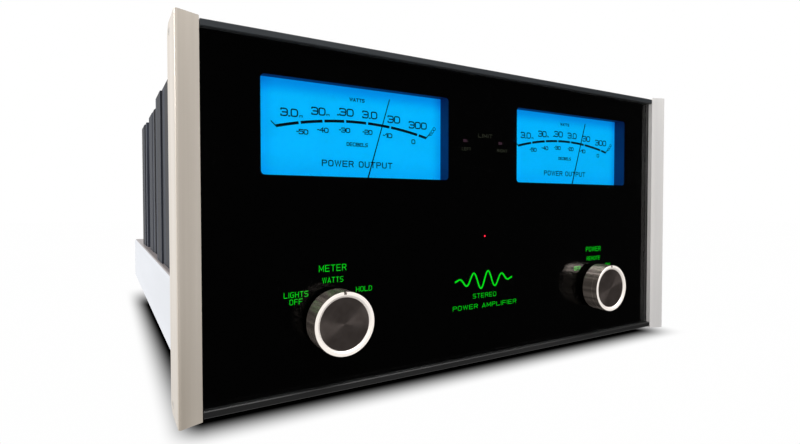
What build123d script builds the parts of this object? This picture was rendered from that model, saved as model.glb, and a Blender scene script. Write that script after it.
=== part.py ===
"""Stereo power amplifier: black glass front with two pointer meters and two rotary knobs between
aluminium end caps, steel chassis on rubber feet, finned heat sinks down both sides, a vented
cover, three transformer cans and a row of connectors across the rear panel.

Millimetres, +X right, +Y to the rear, +Z up. The origin is the middle of the box on the floor.
"""
import os

from build123d import *

# ------------------------------------------------------------------ driving dimensions
panel_width = 444.5
cap_height = 228.0
floor_gap = 12.0  # floor to the underside of the end caps
knob_overhang = 10.6  # knob faces stand this far in front of the end caps
body_depth = 482.0  # front of the end caps to the rear panel
post_reach = 22.4  # output posts stand this far behind the rear panel

# end caps
cap_width = 13.2
cap_nose = 0.5  # unrounded outer front corner, ahead of the rounded edge
cap_slant = 5.1  # the inner edge of the front face, behind the rounded outer edge
cap_block_depth = 19.6
cap_flange_depth = 33.5
cap_flange = 3.15
cap_edge_radius = 1.3
cap_corner_radius = 8.0
cap_screw_set_back = 24.0
cap_screw_height = 6.0  # in from each end of the cap

# front panel, back from the front of the end caps
trim_inset = 1.4  # trims stop this far inside the ends of the caps
trim_height = 4.2
trim_plate = 2.0
glass_set_back = 8.5
glass_thickness = 4.0
mask_thickness = 0.3
layer_gap = 0.1
subpanel_set_back = 17.0
subpanel_thickness = 2.5
panel_side_gap = 0.5

# meters
meter_offset = 104.1
window_width = 139.5
window_height = 61.0
window_height_above_caps = 171.75
window_radius = 2.5
dial_set_back = 24.4
dial_thickness = 1.0
case_wall = 2.5
case_depth = 22.5
case_side_room = 1.0  # the case is this much wider inside than its window, each side
case_top_room = 1.5
pivot_drop = 53.7  # needle pivot below the middle of the window
needle_tilt = 16.9  # degrees right of upright at rest
needle_length = 83.5
needle_clearance = 2.5  # from the dial forward to the back of the pointer
needle_half_width = 0.55
arbor_radius = 1.0
arbor_depth = 4.0  # arbor's length inside the movement
movement_radius = 12.5
running_gap = 0.05

# knobs
knob_offset = 128.2
knob_height_above_caps = 48.7
knob_radius = 20.2
knob_length = 15.2
knob_ring = 2.2
knob_recess = 1.2
insert_radius = 16.7
knob_shaft_radius = 3.0

# chassis
chassis_half_width = 219.1
rail_bottom = 39.5
rail_height = 48.0
sheet = 2.0
rail_edge_radius = 2.4
pan_half_width = 188.0
pan_bottom = 20.0
foot_radius = 19.0

# heat sinks
sink_reach = 216.0
sink_root = 172.0
sink_base = 8.0
sink_front = 36.0
sink_rear = 391.5
sink_top = 225.5
fin_thickness = 3.0

# transformer cans, back from the front of the end caps
can_front = 306.0
can_wall = 1.5

# ------------------------------------------------------------------ worked-out places
overall_depth = knob_overhang + body_depth + post_reach
cap_front = knob_overhang - overall_depth / 2
half_width = panel_width / 2
inner_half_width = half_width - cap_width
cap_top = floor_gap + cap_height
trim_bottom = floor_gap + trim_inset
trim_top = cap_top - trim_inset
rail_top = rail_bottom + rail_height
window_middle = floor_gap + window_height_above_caps
pivot_height = window_middle - pivot_drop
knob_height = floor_gap + knob_height_above_caps
panel_half_width = inner_half_width - panel_side_gap
panel_low = trim_bottom + trim_height + 0.3
panel_high = trim_top - trim_height - 0.3
connector_height = rail_bottom + rail_height / 2 - sheet / 2
knob_places = ((-knob_offset, knob_height), (knob_offset, knob_height))
meter_places = ((-meter_offset, window_middle), (meter_offset, window_middle))


def depth(distance):
    """Row-frame y of a point this far behind the front of the end caps."""
    return cap_front + distance


def facing_front(distance):
    """Sketch plane at this depth: local X right, local Y up, extruding towards the front."""
    return Plane(origin=(0, depth(distance), 0), x_dir=(1, 0, 0), z_dir=(0, -1, 0))


def facing_side(x):
    """Sketch plane at this x: local X to the rear, local Y up, extruding towards +X."""
    return Plane(origin=(x, 0, 0), x_dir=(0, 1, 0), z_dir=(1, 0, 0))


def save(piece, node):
    """Label a finished piece and write it as its own STEP file."""
    piece.label = node
    export_step(piece, f"parts/{node}.step")


os.makedirs("parts", exist_ok=True)

# ------------------------------------------------------------------ end caps
cap_screw_places = [
    (depth(cap_screw_set_back), z)
    for z in (floor_gap + cap_screw_height, cap_top - cap_screw_height)
]

with BuildPart() as left_end_cap:
    with BuildSketch(Plane.XY.offset(floor_gap)):
        with BuildLine():
            Polyline(
                (-half_width, depth(-cap_nose)),
                (-inner_half_width, depth(cap_slant)),
                (-inner_half_width, depth(cap_block_depth)),
                (-half_width + cap_flange, depth(cap_block_depth)),
                (-half_width + cap_flange, depth(cap_flange_depth)),
                (-half_width, depth(cap_flange_depth)),
                close=True,
            )
        make_face()
    extrude(amount=cap_height)
    uprights = left_end_cap.edges().filter_by(Axis.Z)
    fillet(uprights.sort_by(Axis.Y)[0], radius=cap_edge_radius)
    rear_corners = left_end_cap.edges().filter_by(Axis.X).group_by(Axis.Y)[-1]
    fillet(rear_corners, radius=cap_corner_radius)
    with BuildSketch(facing_side(-half_width)):
        with Locations(*cap_screw_places):
            Circle(2.3)
    extrude(amount=1.2, mode=Mode.SUBTRACT)
save(left_end_cap.part, "left_end_cap")

with BuildPart() as right_end_cap:
    mirror(left_end_cap.part, about=Plane.YZ)
save(right_end_cap.part, "right_end_cap")

# ------------------------------------------------------------------ trims above and below the glass
with BuildPart() as bottom_trim:
    with BuildSketch(facing_side(-panel_half_width)):
        with BuildLine():
            Polyline(
                (depth(cap_slant), trim_bottom),
                (depth(cap_slant), trim_bottom + trim_height),
                (depth(glass_set_back + glass_thickness), trim_bottom + trim_height),
                (depth(glass_set_back + glass_thickness), trim_bottom + trim_plate),
                (depth(cap_flange_depth), trim_bottom + trim_plate),
                (depth(cap_flange_depth), trim_bottom),
                close=True,
            )
        make_face()
    extrude(amount=2 * panel_half_width)
    front_edges = bottom_trim.edges().filter_by(Axis.X).group_by(Axis.Y)[0]
    chamfer(front_edges, length=0.5)
save(bottom_trim.part, "bottom_trim")

with BuildPart() as top_trim:
    mirror(bottom_trim.part, about=Plane.XY.offset((trim_bottom + trim_top) / 2))
save(top_trim.part, "top_trim")

# ------------------------------------------------------------------ glass, mask and subpanel
panel_middle = (panel_low + panel_high) / 2
panel_height = panel_high - panel_low
status_light = (1.0, floor_gap + 98.1)
limit_lights = ((-17.7, floor_gap + 171.8), (17.7, floor_gap + 171.8))

with BuildPart() as front_glass:
    with BuildSketch(facing_front(glass_set_back + glass_thickness)):
        with Locations((0, panel_middle)):
            Rectangle(2 * panel_half_width, panel_height)
        with Locations(*knob_places):
            Circle(knob_shaft_radius + 2, mode=Mode.SUBTRACT)
    extrude(amount=glass_thickness)
save(front_glass.part, "front_glass")

mask_back = glass_set_back + glass_thickness + layer_gap + mask_thickness
with BuildPart() as glass_mask:
    with BuildSketch(facing_front(mask_back)):
        with Locations((0, panel_middle)):
            Rectangle(2 * panel_half_width, panel_height)
        with Locations(*meter_places):
            RectangleRounded(window_width, window_height, window_radius, mode=Mode.SUBTRACT)
        with Locations(*knob_places):
            Circle(knob_shaft_radius + 2, mode=Mode.SUBTRACT)
        with Locations(status_light):
            Circle(0.75, mode=Mode.SUBTRACT)
        with Locations(*limit_lights):
            Rectangle(6.0, 2.2, mode=Mode.SUBTRACT)
    extrude(amount=mask_thickness)
save(glass_mask.part, "glass_mask")

case_inner_width = window_width + 2 * case_side_room
case_outer_width = case_inner_width + 2 * case_wall
case_top = window_middle + window_height / 2 + case_top_room + case_wall
case_bottom = pivot_height - 16
case_middle = (case_top + case_bottom) / 2
case_outer_height = case_top - case_bottom
legend_guide_height = 62.0
legend_guide_middle = floor_gap + 64

with BuildPart() as front_subpanel:
    with BuildSketch(facing_front(subpanel_set_back + subpanel_thickness)):
        with Locations((0, panel_middle)):
            Rectangle(2 * panel_half_width, panel_height)
        with Locations(*[(x, case_middle) for x, _ in meter_places]):
            Rectangle(case_outer_width + 1, case_outer_height + 1, mode=Mode.SUBTRACT)
        with Locations(*knob_places):
            Circle(5.2, mode=Mode.SUBTRACT)
        with Locations(status_light, *limit_lights):
            Circle(2.2, mode=Mode.SUBTRACT)
    extrude(amount=subpanel_thickness)
save(front_subpanel.part, "front_subpanel")

with BuildPart() as legend_light_guide:
    with BuildSketch(facing_front(subpanel_set_back)):
        with Locations((0, legend_guide_middle)):
            Rectangle(360, legend_guide_height)
        with Locations(*knob_places):
            Circle(8, mode=Mode.SUBTRACT)
    extrude(amount=3.0)
save(legend_light_guide.part, "legend_light_guide")

with BuildPart() as indicator_lights:
    with BuildSketch(facing_front(subpanel_set_back + 6)):
        with Locations(status_light, *limit_lights):
            Circle(1.5)
    extrude(amount=9.5)
save(indicator_lights.part, "indicator_lights")

# ------------------------------------------------------------------ meters
case_front = mask_back + layer_gap
movement_front = dial_set_back + dial_thickness + 0.4
movement_length = case_front + case_depth - case_wall - 0.3 - movement_front
arbor_end = movement_front + arbor_depth
needle_set_back = dial_set_back - needle_clearance


def meter_case(x):
    """Black box behind one window, open at its front rim."""
    with BuildPart() as case:
        with BuildSketch(facing_front(case_front + case_depth)):
            with Locations((x, case_middle)):
                Rectangle(case_outer_width, case_outer_height)
        extrude(amount=case_depth)
        with BuildSketch(facing_front(case_front + case_depth - case_wall)):
            with Locations((x, case_middle)):
                Rectangle(case_inner_width, case_outer_height - 2 * case_wall)
        extrude(amount=case_depth, mode=Mode.SUBTRACT)
    return case.part


def meter_dial(x):
    """Printed dial plate, cut away in the middle of its lower edge round the needle's pivot."""
    dial_low = pivot_height - 12
    dial_high = case_top - case_wall
    with BuildPart() as dial:
        with BuildSketch(facing_front(dial_set_back + dial_thickness)):
            with Locations((x, (dial_low + dial_high) / 2)):
                Rectangle(case_inner_width - 0.4, dial_high - dial_low - 0.4)
            with Locations((x, pivot_height)):
                Circle(4.0, mode=Mode.SUBTRACT)
        extrude(amount=dial_thickness)
    return dial.part


def meter_needle(x):
    """Arbor, hub, tapered pointer and its short counterweight tail."""
    tilted = Plane(
        origin=(x, depth(needle_set_back), pivot_height),
        x_dir=(1, 0, 0),
        z_dir=(0, -1, 0),
    ).rotated((0, needle_tilt, 0))
    with BuildPart() as needle:
        with BuildSketch(facing_front(arbor_end)):
            with Locations((x, pivot_height)):
                Circle(arbor_radius)
        extrude(amount=arbor_end - needle_set_back)
        with BuildSketch(facing_front(needle_set_back)):
            with Locations((x, pivot_height)):
                Circle(3.5)
        extrude(amount=1.4)
        with BuildSketch(tilted):
            with BuildLine():
                Polyline(
                    (-needle_half_width, -9),
                    (needle_half_width, -9),
                    (needle_half_width * 0.6, needle_length * 0.5),
                    (needle_half_width * 0.45, needle_length),
                    (-needle_half_width * 0.45, needle_length),
                    (-needle_half_width * 0.6, needle_length * 0.5),
                    close=True,
                )
            make_face()
            with Locations((0, -9)):
                Circle(2.2)
        extrude(amount=0.5)
    return needle.part


for side, centre in (("left", -meter_offset), ("right", meter_offset)):
    save(meter_case(centre), f"{side}_meter_case")
    save(meter_dial(centre), f"{side}_meter_dial")
    save(meter_needle(centre), f"{side}_meter_needle")

# moving-coil movements: magnet drums, bored for the needles' arbors
with BuildPart() as meter_movements:
    with BuildSketch(facing_front(movement_front + movement_length)):
        with Locations((-meter_offset, pivot_height), (meter_offset, pivot_height)):
            Circle(movement_radius)
    extrude(amount=movement_length)
    with BuildSketch(facing_front(movement_front)):
        with Locations((-meter_offset, pivot_height), (meter_offset, pivot_height)):
            Circle(arbor_radius + running_gap)
    extrude(amount=-(arbor_depth + 2), mode=Mode.SUBTRACT)
save(meter_movements.part, "meter_movements")

# ------------------------------------------------------------------ knobs and their switches
switch_front = subpanel_set_back + subpanel_thickness
switch_bushing = 6.0


def control_knob(x):
    """Machined knob: bevelled front ring round a recess, index notch at the top, blind bore."""
    axis_plane = Plane(
        origin=(x, depth(-knob_overhang), knob_height), x_dir=(1, 0, 0), z_dir=(0, 0, 1)
    )
    rim = knob_radius - knob_ring
    with BuildPart() as knob:
        with BuildSketch(axis_plane):
            with BuildLine():
                Polyline(
                    (0, knob_recess),
                    (insert_radius, knob_recess),
                    (rim, 0),
                    (knob_radius - 0.3, 0),
                    (knob_radius, 0.3),
                    (knob_radius, knob_length - 0.5),
                    (knob_radius - 0.5, knob_length),
                    (0, knob_length),
                    close=True,
                )
            make_face()
        revolve(axis=Axis((x, depth(0), knob_height), (0, 1, 0)))
        with BuildSketch(facing_front(-knob_overhang)):
            with Locations((x, knob_height + knob_radius - 0.5)):
                RegularPolygon(1.6, 3, rotation=-90)
        extrude(amount=-0.8, mode=Mode.SUBTRACT)
        with BuildSketch(facing_front(knob_length - knob_overhang)):
            with Locations((x, knob_height)):
                Circle(knob_shaft_radius)
        extrude(amount=10, mode=Mode.SUBTRACT)
    return knob.part


def knob_insert(x):
    """Spun disc that fills the recess in a knob's face."""
    with BuildPart() as insert:
        with BuildSketch(facing_front(knob_recess - knob_overhang)):
            with Locations((x, knob_height)):
                Circle(insert_radius - 0.1)
        extrude(amount=0.35)
    return insert.part


def knob_shaft(x):
    """Steel switch shaft from inside the knob to inside the switch."""
    start = knob_length - knob_overhang - 10
    with BuildPart() as shaft:
        with BuildSketch(facing_front(start)):
            with Locations((x, knob_height)):
                Circle(knob_shaft_radius)
        extrude(amount=-(switch_front + 9 - start))
    return shaft.part


for name, centre in (("meter", -knob_offset), ("power", knob_offset)):
    save(control_knob(centre), f"{name}_knob")
    save(knob_insert(centre), f"{name}_knob_insert")
    save(knob_shaft(centre), f"{name}_knob_shaft")

# rotary switches behind the subpanel: bushing, square body, wafer and a ring of solder tags
with BuildPart() as rotary_switches:
    with BuildSketch(facing_front(switch_front)):
        with Locations(*knob_places):
            Circle(5.0)
    extrude(amount=switch_bushing)
    with BuildSketch(facing_front(switch_front + 11)):
        with Locations(*knob_places):
            Rectangle(26, 26)
    extrude(amount=11)
    with BuildSketch(facing_front(switch_front + 14)):
        with Locations(*knob_places):
            Circle(15)
    extrude(amount=3)
    with BuildSketch(facing_front(switch_front - switch_bushing)):
        with Locations(*knob_places):
            Circle(knob_shaft_radius + running_gap)
    extrude(amount=-(switch_bushing + 9.5), mode=Mode.SUBTRACT)
    with BuildSketch(facing_front(switch_front + 18)):
        with Locations(*knob_places):
            with PolarLocations(12, 12):
                Rectangle(1.6, 0.6)
    extrude(amount=4)
save(rotary_switches.part, "rotary_switches")

# ------------------------------------------------------------------ chassis, pan, rear panel, feet
chassis_front = cap_block_depth
switch_opening = 33.0
rear_panel_height = rail_height - sheet
chassis_length = body_depth - chassis_front
chassis_middle = depth(chassis_front + chassis_length / 2)

with BuildPart() as chassis:
    with BuildSketch(Plane.XY.offset(rail_bottom)):
        with Locations((0, chassis_middle)):
            Rectangle(2 * chassis_half_width, chassis_length)
    extrude(amount=rail_height)
    top_sides = chassis.edges().filter_by(Axis.Y).group_by(Axis.Z)[-1]
    fillet(top_sides, radius=rail_edge_radius)
    with BuildSketch(Plane.XY.offset(rail_bottom)):
        with Locations((0, chassis_middle + sheet / 2)):
            Rectangle(2 * (chassis_half_width - sheet), chassis_length - sheet)
    extrude(amount=rail_height - sheet, mode=Mode.SUBTRACT)
    with BuildSketch(facing_front(chassis_front + sheet)):
        with Locations(*knob_places):
            Rectangle(switch_opening, switch_opening)
    extrude(amount=sheet, mode=Mode.SUBTRACT)
save(chassis.part, "chassis")

pan_front = 60.0
pan_rear = 462.0
with BuildPart() as bottom_pan:
    with BuildSketch(Plane.XY.offset(rail_bottom - sheet)):
        with Locations((0, chassis_middle)):
            Rectangle(2 * chassis_half_width - 3.0, chassis_length - 3.0)
    extrude(amount=sheet)
    with BuildSketch(Plane.XY.offset(pan_bottom)):
        with Locations((0, depth((pan_front + pan_rear) / 2))):
            RectangleRounded(2 * pan_half_width, pan_rear - pan_front, 6)
    extrude(amount=rail_bottom - sheet - pan_bottom)
    with BuildSketch(Plane.XY.offset(rail_bottom)):
        with Locations((0, depth((pan_front + pan_rear) / 2))):
            RectangleRounded(2 * (pan_half_width - sheet), pan_rear - pan_front - 2 * sheet, 4)
    extrude(amount=-(rail_bottom - pan_bottom - sheet), mode=Mode.SUBTRACT)
    with BuildSketch(Plane.XY.offset(pan_bottom)):
        with Locations((0, depth((pan_front + pan_rear) / 2))):
            with GridLocations(14, 250, 16, 2):
                SlotOverall(40, 4, rotation=90)
    extrude(amount=sheet, mode=Mode.SUBTRACT)
save(bottom_pan.part, "bottom_pan")

# rear panel with its row of connectors, left to right as seen from the front
post_columns = (128.0, 148.0, 168.0, 188.0)
post_places = [(side * x, connector_height) for side in (-1, 1) for x in post_columns]
rca_places = ((-72.0, connector_height), (72.0, connector_height))
xlr_places = ((-47.0, connector_height), (47.0, connector_height))
jack_places = ((-93.0, connector_height - 10), (-93.0, connector_height + 10))
fuse_place = (93.0, connector_height)
mode_place = (110.0, connector_height + 14)
inlet_place = (0.0, connector_height)
inlet_width = 28.0
inlet_height = 20.5
rca_radius = 4.15
xlr_barrel_radius = 11.8
fuse_radius = 6.3
jack_radius = 3.0

with BuildPart() as rear_panel:
    with BuildSketch(facing_front(body_depth)):
        with Locations((0, rail_bottom + rear_panel_height / 2)):
            Rectangle(2 * (chassis_half_width - sheet) - 0.2, rear_panel_height)
        with Locations(*post_places):
            Circle(5.2, mode=Mode.SUBTRACT)
        with Locations(*rca_places):
            Circle(rca_radius + 0.2, mode=Mode.SUBTRACT)
        with Locations(*xlr_places):
            Circle(xlr_barrel_radius + 0.2, mode=Mode.SUBTRACT)
        with Locations(*jack_places):
            Circle(jack_radius + 0.2, mode=Mode.SUBTRACT)
        with Locations(fuse_place):
            Circle(fuse_radius + 0.2, mode=Mode.SUBTRACT)
        with Locations(inlet_place):
            Rectangle(inlet_width + 0.4, inlet_height + 0.4, mode=Mode.SUBTRACT)
        with Locations(mode_place):
            Rectangle(12.4, 7.4, mode=Mode.SUBTRACT)
    extrude(amount=sheet)
save(rear_panel.part, "rear_panel")

foot_columns = 160.0
foot_rows = (depth(92), depth(430))
foot_places = [(side * foot_columns, y) for side in (-1, 1) for y in foot_rows]
with BuildPart() as rubber_feet:
    with BuildSketch():
        with Locations(*foot_places):
            Circle(foot_radius)
    extrude(amount=pan_bottom, taper=-5)
    with BuildSketch():
        with Locations(*foot_places):
            Circle(7)
    extrude(amount=7, mode=Mode.SUBTRACT)
save(rubber_feet.part, "rubber_feet")

with BuildPart() as foot_bolts:
    with BuildSketch(Plane.XY.offset(3)):
        with Locations(*foot_places):
            Circle(5.0)
    extrude(amount=4)
save(foot_bolts.part, "foot_bolts")

# ------------------------------------------------------------------ heat sinks
# each pad closes the outer ends of its fins: start, end and how far it stands back
fin_pads = (
    (38.0, 150.0, 1.2),
    (150.0, 188.5, 0.0),
    (206.0, 240.0, 3.6),
    (240.0, 262.0, 3.0),
    (262.0, 300.0, 2.6),
    (330.0, 350.0, 2.4),
    (350.0, 391.5, 1.6),
)
web_pitch = 15.0
pad_thickness = 3.0

with BuildPart() as left_heat_sink:
    with BuildSketch(Plane.XY.offset(rail_top)):
        with Locations((-(sink_root + sink_base / 2), depth((sink_front + sink_rear) / 2))):
            Rectangle(sink_base, sink_rear - sink_front)
        for start, end, set_back in fin_pads:
            pad_x = -(sink_reach - set_back - pad_thickness / 2)
            web_x = -(sink_root + sink_base + sink_reach - set_back - pad_thickness) / 2
            web_length = sink_reach - set_back - pad_thickness - sink_root - sink_base
            webs = max(1, round((end - start) / web_pitch))
            with Locations((pad_x, depth((start + end) / 2))):
                Rectangle(pad_thickness, end - start)
            with Locations((web_x, depth((start + end) / 2))):
                with GridLocations(1, (end - start) / webs, 1, webs):
                    Rectangle(web_length + 0.2, fin_thickness)
    extrude(amount=sink_top - rail_top)
save(left_heat_sink.part, "left_heat_sink")

with BuildPart() as right_heat_sink:
    mirror(left_heat_sink.part, about=Plane.YZ)
save(right_heat_sink.part, "right_heat_sink")

transistor_rows = (rail_top + 45, rail_top + 95)
transistor_thickness = 5.0
with BuildPart() as output_transistors:
    for side in (-1, 1):
        for z in transistor_rows:
            with Locations((side * (sink_root - transistor_thickness / 2), depth(165), z)):
                with GridLocations(1, 34, 1, 6):
                    Box(transistor_thickness, 16, 20)
save(output_transistors.part, "output_transistors")

with BuildPart() as driver_boards:
    for side in (-1, 1):
        with Locations((side * 158, depth(165), (rail_top + sink_top) / 2)):
            Box(1.6, 220, 110)
        with Locations((side * 153.2, depth(165), (rail_top + sink_top) / 2)):
            with GridLocations(1, 48, 1, 4):
                Box(8, 18, 30)
save(driver_boards.part, "driver_boards")

# ------------------------------------------------------------------ cover over the front half
cover_rear = 298.0
cover_thickness = 1.5
cover_half_width = sink_root + sink_base - 1
cover_length = cover_rear - sink_front
with BuildPart() as top_cover:
    with BuildSketch(Plane.XY.offset(sink_top)):
        with Locations((0, depth(sink_front + cover_length / 2))):
            Rectangle(2 * cover_half_width, cover_length)
        with Locations((0, depth(sink_front + cover_length / 2))):
            with GridLocations(15, 92, 20, 2):
                SlotOverall(76, 5, rotation=90, mode=Mode.SUBTRACT)
    extrude(amount=cover_thickness)
    with BuildSketch(Plane.XY.offset(rail_top)):
        with Locations((0, depth(cover_rear - cover_thickness / 2))):
            Rectangle(2 * (sink_root - 0.5), cover_thickness)
    extrude(amount=sink_top - rail_top)
save(top_cover.part, "top_cover")

# ------------------------------------------------------------------ transformers and their cans
# half width, length and height of each can above the chassis deck
mains_can = (62.0, 156.0, 128.0)
audio_can = (48.0, 150.0, 116.0)
audio_offset = 117.0


def transformer_can(x, size):
    """Potted can: rounded steel shell with a shallow step round its lid, open underneath."""
    half, length, height = size
    y = depth(can_front) + length / 2
    with BuildPart() as can:
        with BuildSketch(Plane.XY.offset(rail_top)):
            with Locations((x, y)):
                RectangleRounded(2 * half, length, 6)
        extrude(amount=height)
        fillet(can.faces().sort_by(Axis.Z)[-1].edges(), radius=2.5)
        with BuildSketch(Plane.XY.offset(rail_top + height - 8)):
            with Locations((x, y)):
                RectangleRounded(2 * half, length, 6)
                RectangleRounded(2 * half - 2, length - 2, 5, mode=Mode.SUBTRACT)
        extrude(amount=1.2, mode=Mode.SUBTRACT)
        with BuildSketch(Plane.XY.offset(rail_top)):
            with Locations((x, y)):
                RectangleRounded(2 * (half - 2 * can_wall), length - 4 * can_wall, 4)
        extrude(amount=height - 2 * can_wall, mode=Mode.SUBTRACT)
    return can.part


def laminated_core(x, size):
    """Laminated iron core with its wound bobbin, standing on the deck inside its can."""
    half, length, height = size
    y = depth(can_front) + length / 2
    core_length = length * 0.62
    core_height = height - 28
    window = (half * 0.36, core_height * 0.56)
    with BuildPart() as core:
        with BuildSketch(Plane(origin=(x, y, rail_top), x_dir=(1, 0, 0), z_dir=(0, -1, 0))):
            with Locations((0, core_height / 2)):
                Rectangle(2 * half - 24, core_height)
                with GridLocations(half * 0.8, 1, 2, 1):
                    Rectangle(*window, mode=Mode.SUBTRACT)
        extrude(amount=core_length / 2, both=True)
        with Locations((x, y, rail_top + core_height / 2)):
            Box(half * 1.16, core_length + 20, window[1])
    return core.part


save(transformer_can(0, mains_can), "power_transformer_can")
save(laminated_core(0, mains_can), "power_transformer")

with BuildPart() as autoformer_cans:
    for centre in (-audio_offset, audio_offset):
        add(transformer_can(centre, audio_can))
save(autoformer_cans.part, "autoformer_cans")

with BuildPart() as autoformers:
    for centre in (-audio_offset, audio_offset):
        add(laminated_core(centre, audio_can))
save(autoformers.part, "autoformers")

# ------------------------------------------------------------------ electronics under the deck
with BuildPart() as filter_capacitors:
    with BuildSketch(Plane.XY.offset(pan_bottom + sheet + 4)):
        with Locations((0, depth(150))):
            with GridLocations(72, 72, 4, 2):
                Circle(30)
    extrude(amount=58)
    chamfer(filter_capacitors.faces().group_by(Axis.Z)[-1].edges(), length=2)
save(filter_capacitors.part, "filter_capacitors")

with BuildPart() as power_supply_board:
    with Locations((0, depth(320), pan_bottom + sheet + 7)):
        Box(300, 150, 1.6)
    with Locations((0, depth(320), pan_bottom + sheet + 7.8 + 12)):
        with GridLocations(58, 60, 5, 2):
            Box(26, 24, 24)
save(power_supply_board.part, "power_supply_board")

with BuildPart() as input_board:
    with Locations((0, depth(420), rail_bottom + 5)):
        Box(230, 60, 1.6)
    with Locations((0, depth(420), rail_bottom + 5.8 + 5)):
        with GridLocations(38, 28, 6, 2):
            Box(14, 10, 10)
save(input_board.part, "input_board")

# ------------------------------------------------------------------ rear connectors
collar_length = 4.0
with BuildPart() as output_post_collars:
    with BuildSketch(facing_front(body_depth)):
        with Locations(*post_places):
            Circle(8)
    extrude(amount=-collar_length)
    with BuildSketch(facing_front(body_depth)):
        with Locations(*post_places):
            Circle(5)
    extrude(amount=10)
save(output_post_collars.part, "output_post_collars")

stud_radius = 3.0
with BuildPart() as output_post_studs:
    with BuildSketch(facing_front(body_depth + collar_length)):
        with Locations(*post_places):
            Circle(stud_radius)
    extrude(amount=-(post_reach - collar_length - 2.4))
save(output_post_studs.part, "output_post_studs")


def post_cap(x):
    """Fluted screw cap on one output post."""
    cap_start = body_depth + collar_length + 0.3
    cap_length = post_reach - collar_length - 0.3
    with BuildPart() as cap:
        with BuildSketch(facing_front(cap_start)):
            with Locations((x, connector_height)):
                Circle(7.8)
                with PolarLocations(8.4, 16):
                    Circle(1.1, mode=Mode.SUBTRACT)
                Circle(stud_radius + running_gap, mode=Mode.SUBTRACT)
        extrude(amount=-cap_length)
        with BuildSketch(facing_front(cap_start + cap_length)):
            with Locations((x, connector_height)):
                Circle(6.2)
        extrude(amount=1.6)
    return cap.part


post_names = ("common", "two_ohm", "four_ohm", "eight_ohm")
for side, sign in (("left", -1), ("right", 1)):
    for post, x in zip(post_names, post_columns):
        save(post_cap(sign * x), f"{side}_{post}_post_cap")

with BuildPart() as rca_jacks:
    with BuildSketch(facing_front(body_depth)):
        with Locations(*rca_places):
            RegularPolygon(6.6, 6)
    extrude(amount=-2.5)
    with BuildSketch(facing_front(body_depth - 12)):
        with Locations(*rca_places):
            Circle(rca_radius)
    extrude(amount=-23.5)
    with BuildSketch(facing_front(body_depth + 11.5)):
        with Locations(*rca_places):
            Circle(1.65)
    extrude(amount=10, mode=Mode.SUBTRACT)
save(rca_jacks.part, "rca_jacks")

xlr_insert_radius = 7.8
xlr_bore_radius = 9.6
with BuildPart() as xlr_jacks:
    with BuildSketch(facing_front(body_depth)):
        with Locations(*xlr_places):
            RectangleRounded(26, 31, 3)
    extrude(amount=-2.2)
    with BuildSketch(facing_front(body_depth)):
        with Locations(*xlr_places):
            Circle(xlr_barrel_radius)
    extrude(amount=18)
    with BuildSketch(facing_front(body_depth + 2.2)):
        with Locations(*xlr_places):
            Circle(xlr_bore_radius)
            Circle(xlr_insert_radius, mode=Mode.SUBTRACT)
    extrude(amount=12, mode=Mode.SUBTRACT)
    with BuildSketch(facing_front(body_depth + 2.2)):
        with Locations(*xlr_places):
            with Locations((-3.6, 0.6), (3.6, 0.6), (0, -3.4)):
                Circle(1.4)
    extrude(amount=10, mode=Mode.SUBTRACT)
save(xlr_jacks.part, "xlr_jacks")

with BuildPart() as control_jacks:
    with BuildSketch(facing_front(body_depth)):
        with Locations(*jack_places):
            Circle(4.2)
    extrude(amount=-2)
    with BuildSketch(facing_front(body_depth)):
        with Locations(*jack_places):
            Circle(jack_radius)
    extrude(amount=16)
    with BuildSketch(facing_front(body_depth + 2)):
        with Locations(*jack_places):
            Circle(1.8)
    extrude(amount=14, mode=Mode.SUBTRACT)
save(control_jacks.part, "control_jacks")

inlet_mouth = (24.4, 16.8)
inlet_depth = 19.0
with BuildPart() as ac_inlet:
    with BuildSketch(facing_front(body_depth)):
        with Locations(inlet_place):
            RectangleRounded(50, 26, 4)
    extrude(amount=-2.5)
    with BuildSketch(facing_front(body_depth)):
        with Locations(inlet_place):
            RectangleRounded(inlet_width, inlet_height, 2)
    extrude(amount=20)
    with BuildSketch(facing_front(body_depth + 2.5)):
        with Locations(inlet_place):
            RectangleRounded(*inlet_mouth, 1.5)
    extrude(amount=inlet_depth, mode=Mode.SUBTRACT)
save(ac_inlet.part, "ac_inlet")

with BuildPart() as ac_inlet_pins:
    with BuildSketch(facing_front(body_depth + 2.5 - inlet_depth)):
        with Locations(inlet_place):
            with Locations((-7, -2), (7, -2), (0, 2)):
                Rectangle(2, 4)
    extrude(amount=-13)
save(ac_inlet_pins.part, "ac_inlet_pins")

fuse_stem_radius = 3.5
fuse_flange = 2.0
with BuildPart() as fuse_holder:
    with BuildSketch(facing_front(body_depth)):
        with Locations(fuse_place):
            Circle(8)
    extrude(amount=-fuse_flange)
    with BuildSketch(facing_front(body_depth)):
        with Locations(fuse_place):
            Circle(fuse_radius)
    extrude(amount=28)
    with BuildSketch(facing_front(body_depth + fuse_flange)):
        with Locations(fuse_place):
            Circle(fuse_stem_radius + running_gap)
    extrude(amount=24, mode=Mode.SUBTRACT)
save(fuse_holder.part, "fuse_holder")

with BuildPart() as fuse_cap:
    with BuildSketch(facing_front(body_depth - 10)):
        with Locations(fuse_place):
            Circle(fuse_stem_radius)
    extrude(amount=-(10 + fuse_flange + 0.2))
    with BuildSketch(facing_front(body_depth + fuse_flange + 0.2)):
        with Locations(fuse_place):
            Circle(6.6)
            with PolarLocations(7.1, 12):
                Circle(0.9, mode=Mode.SUBTRACT)
    extrude(amount=-9)
    with BuildSketch(facing_front(body_depth + fuse_flange + 9.2)):
        with Locations(fuse_place):
            Rectangle(8, 1.4)
    extrude(amount=1.2, mode=Mode.SUBTRACT)
save(fuse_cap.part, "fuse_cap")

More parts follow.
